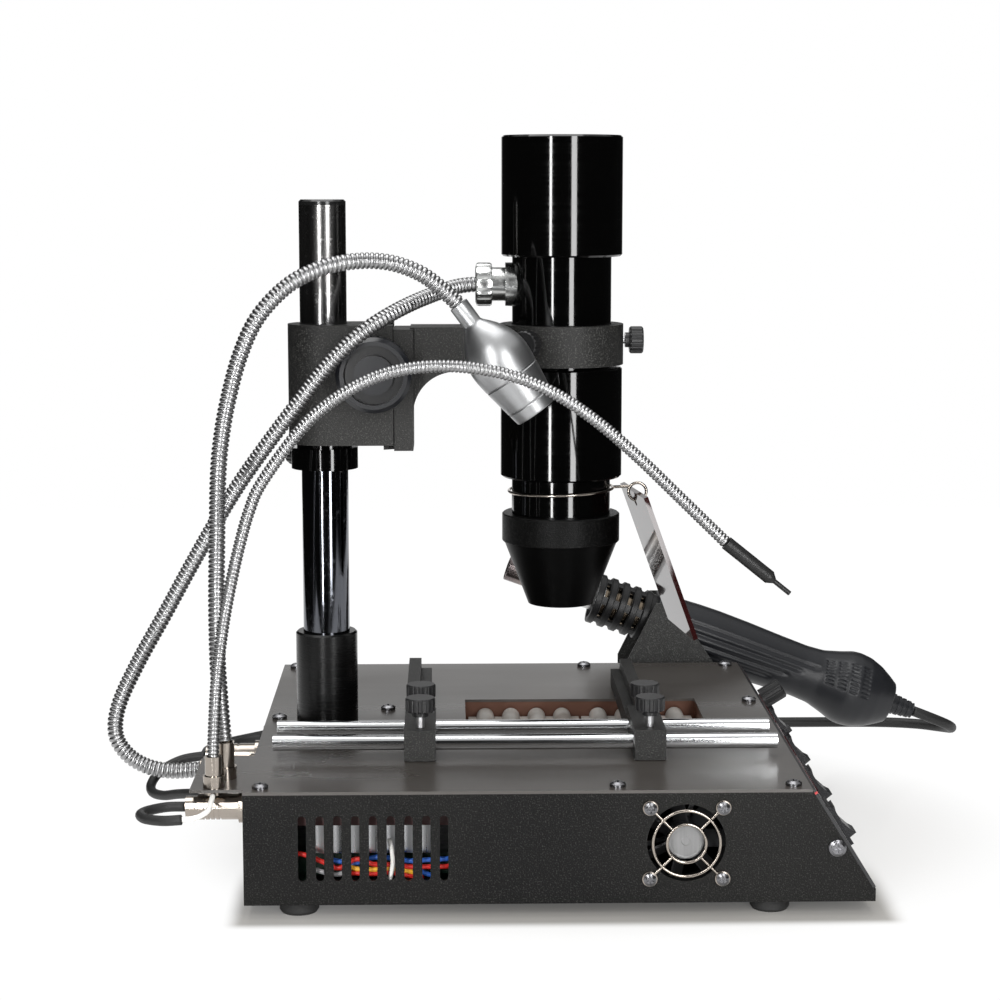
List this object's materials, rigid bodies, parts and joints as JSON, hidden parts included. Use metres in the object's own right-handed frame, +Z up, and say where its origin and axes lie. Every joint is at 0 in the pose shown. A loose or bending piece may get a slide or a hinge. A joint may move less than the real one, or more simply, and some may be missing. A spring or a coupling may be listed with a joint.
{
  "type": "infrared and hot-air rework station",
  "caption": "Bench rework station: sheet-metal base with a heater, a board clamp, a focusing infrared head on a column, a task lamp, a probe and a hot-air gun.",
  "frame": {"origin": "middle of the footprint's bounding box, on the bench under the feet, measured without the cords", "axes": "+Z up, +X from the rear wall to the sloped control panel, +Y from the fan's side wall to the gun's side"},
  "size_m": [0.5027, 0.4071, 0.3794],
  "materials": {
    "black_paint": "fine texture black powder coat",
    "dark_plate": "satin dark paint",
    "black_plastic": "matt black",
    "gloss_plastic": "glossy blue black",
    "rubber": "matt",
    "steel": "satin",
    "chrome": "polished",
    "aluminium": "brushed",
    "anodised": "glossy black anodised",
    "cast_black": "textured black paint on a casting",
    "ceramic": "white ceramic",
    "copper_wall": "heat-tinted sheet",
    "board_green": "solder mask",
    "red_shield": "dark red glossy sheet",
    "display_red": "dark red window",
    "white_wire": "satin"
  },
  "bodies": {
    "base": {"bottom_tray": "black_paint", "top_cover": "dark_plate", "control_panel": "black_paint", "rubber_feet": "rubber", "chassis_screws": "steel", "fan_frame": "black_plastic", "fan_guard": "chrome", "heater_tray": "copper_wall", "heater_plates": "ceramic", "control_board": "board_green", "wire_harness": "white_wire", "column_socket": "cast_black", "column": "chrome", "switch_bezels": "black_plastic", "display_windows": "display_red", "mains_inlet": "black_plastic", "rear_sockets": "steel", "gun_holder": "black_paint", "neck_ferrules": "chrome", "cable_plugs": "chrome", "head_hose": "steel", "probe_lead": "rubber", "probe_wire": "white_wire", "lamp_lead": "rubber", "gun_cord": "rubber", "cord_coil": "rubber"},
    "fan": {"fan_rotor": "black_plastic"},
    "switch_1": {"rocker_1": "gloss_plastic"},
    "switch_2": {"rocker_2": "gloss_plastic"},
    "switch_3": {"rocker_3": "gloss_plastic"},
    "switch_4": {"rocker_4": "gloss_plastic"},
    "airflow": {"airflow_knob": "gloss_plastic"},
    "board_clamp": {"board_rods": "chrome"},
    "jaw_l": {"left_jaw": "cast_black"},
    "jaw_r": {"right_jaw": "cast_black"},
    "screw_ln": {"left_near_screw": "black_plastic"},
    "screw_lf": {"left_far_screw": "black_plastic"},
    "screw_rn": {"right_near_screw": "black_plastic"},
    "screw_rf": {"right_far_screw": "black_plastic"},
    "collar": {"stop_collar": "cast_black"},
    "collar_grip": {"collar_knob": "black_plastic"},
    "carriage_body": {"carriage": "cast_black"},
    "focus": {"focus_knobs": "gloss_plastic"},
    "arm": {"head_arm": "cast_black"},
    "ring_1": {"ring_screw_1": "black_plastic"},
    "ring_2": {"ring_screw_2": "black_plastic"},
    "ring_3": {"ring_screw_3": "black_plastic"},
    "head": {"head_tube": "anodised", "head_sleeves": "anodised", "head_nozzle": "anodised", "ir_lamp": "ceramic", "head_gland": "steel", "shield_wire": "steel", "shield_plate": "red_shield"},
    "lamp": {"lamp_neck": "steel", "lamp_shell": "aluminium"},
    "probe": {"probe_neck": "steel", "probe_tip": "black_plastic"},
    "gun": {"gun_shell": "gloss_plastic", "gun_barrel": "steel"}
  },
  "joints": [
    {"name": "fan_spin", "type": "hinge", "parent": "base", "child": "fan", "pos_m": [0.0312, -0.1633, 0.0371], "axis": [0, 1, 0], "continuous": true},
    {"name": "switch_1_rock", "type": "hinge", "parent": "base", "child": "switch_1", "pos_m": [0.11008, -0.1383, 0.03718], "axis": [0, 1, 0], "range_deg": [0, 16]},
    {"name": "switch_2_rock", "type": "hinge", "parent": "base", "child": "switch_2", "pos_m": [0.11008, -0.0678, 0.03718], "axis": [0, 1, 0], "range_deg": [0, 16]},
    {"name": "switch_3_rock", "type": "hinge", "parent": "base", "child": "switch_3", "pos_m": [0.11008, 0.0037, 0.03718], "axis": [0, 1, 0], "range_deg": [0, 16]},
    {"name": "switch_4_rock", "type": "hinge", "parent": "base", "child": "switch_4", "pos_m": [0.11008, 0.0717, 0.03718], "axis": [0, 1, 0], "range_deg": [0, 16]},
    {"name": "airflow_turn", "type": "hinge", "parent": "base", "child": "airflow", "pos_m": [0.09978, 0.0597, 0.05374], "axis": [0.849, 0, 0.5284], "range_deg": [0, 270]},
    {"name": "clamp_slide", "type": "slide", "parent": "base", "child": "board_clamp", "axis": [0, 1, 0], "range_m": [-0.03, 0.01]},
    {"name": "left_jaw_slide", "type": "slide", "parent": "board_clamp", "child": "jaw_l", "axis": [1, 0, 0], "range_m": [-0.006, 0.05]},
    {"name": "right_jaw_slide", "type": "slide", "parent": "board_clamp", "child": "jaw_r", "axis": [1, 0, 0], "range_m": [-0.03, 0.05]},
    {"name": "left_near_screw_turn", "type": "hinge", "parent": "jaw_l", "child": "screw_ln", "pos_m": [-0.0985, -0.1073, 0.091], "axis": [0, 0, 1], "range_deg": [0, 180]},
    {"name": "left_far_screw_turn", "type": "hinge", "parent": "jaw_l", "child": "screw_lf", "pos_m": [-0.0985, -0.0763, 0.091], "axis": [0, 0, 1], "range_deg": [0, 180]},
    {"name": "right_near_screw_turn", "type": "hinge", "parent": "jaw_r", "child": "screw_rn", "pos_m": [0.0188, -0.1073, 0.091], "axis": [0, 0, 1], "range_deg": [0, 180]},
    {"name": "right_far_screw_turn", "type": "hinge", "parent": "jaw_r", "child": "screw_rf", "pos_m": [0.0188, -0.0763, 0.091], "axis": [0, 0, 1], "range_deg": [0, 180]},
    {"name": "collar_slide", "type": "slide", "parent": "base", "child": "collar", "axis": [0, 0, 1], "range_m": [-0.02, 0.055], "deforming": ["head_hose"]},
    {"name": "collar_knob_turn", "type": "hinge", "parent": "collar", "child": "collar_grip", "pos_m": [-0.16501, -0.006, 0.2088], "axis": [-0.5736, 0.8192, 0], "range_deg": [0, 180]},
    {"name": "carriage_swing", "type": "hinge", "parent": "collar", "child": "carriage_body", "pos_m": [-0.1501, -0.0273, 0.248], "axis": [0, 0, 1], "range_deg": [0, 35], "deforming": ["head_hose"]},
    {"name": "focus_slide", "type": "slide", "parent": "carriage_body", "child": "arm", "axis": [0, 0, 1], "range_m": [-0.012, 0.025], "deforming": ["head_hose"]},
    {"name": "focus_turn", "type": "hinge", "parent": "carriage_body", "child": "focus", "pos_m": [-0.1225, -0.0273, 0.2555], "axis": [0, -1, 0], "range_deg": [-150, 305]},
    {"name": "ring_screw_1_turn", "type": "hinge", "parent": "arm", "child": "ring_1", "pos_m": [0.0168, -0.0273, 0.2713], "axis": [1, 0, 0], "range_deg": [0, 180]},
    {"name": "ring_screw_2_turn", "type": "hinge", "parent": "arm", "child": "ring_2", "pos_m": [-0.0432, 0.00734, 0.2713], "axis": [-0.5, 0.866, 0], "range_deg": [0, 180]},
    {"name": "ring_screw_3_turn", "type": "hinge", "parent": "arm", "child": "ring_3", "pos_m": [-0.0432, -0.06194, 0.2713], "axis": [-0.5, -0.866, 0], "range_deg": [0, 180]},
    {"name": "head_turn", "type": "hinge", "parent": "arm", "child": "head", "pos_m": [-0.0232, -0.0273, 0.269], "axis": [0, 0, 1], "range_deg": [0, 25], "deforming": ["head_hose"]},
    {"name": "lamp_bend", "type": "hinge", "parent": "base", "child": "lamp", "pos_m": [-0.195, -0.1443, 0.082], "axis": [0, 1, 0], "range_deg": [-15, 8]},
    {"name": "probe_bend", "type": "hinge", "parent": "base", "child": "probe", "pos_m": [-0.1985, -0.1613, 0.079], "axis": [0, 1, 0], "range_deg": [-15, 5]},
    {"name": "gun_lift", "type": "slide", "parent": "base", "child": "gun", "axis": [0, 0, 1], "range_m": [0, 0.1], "deforming": ["gun_cord"]}
  ],
  "couplings": [
    {"joint": "focus_turn", "follows": "focus_slide", "rad_per_m": 208.33}
  ]
}
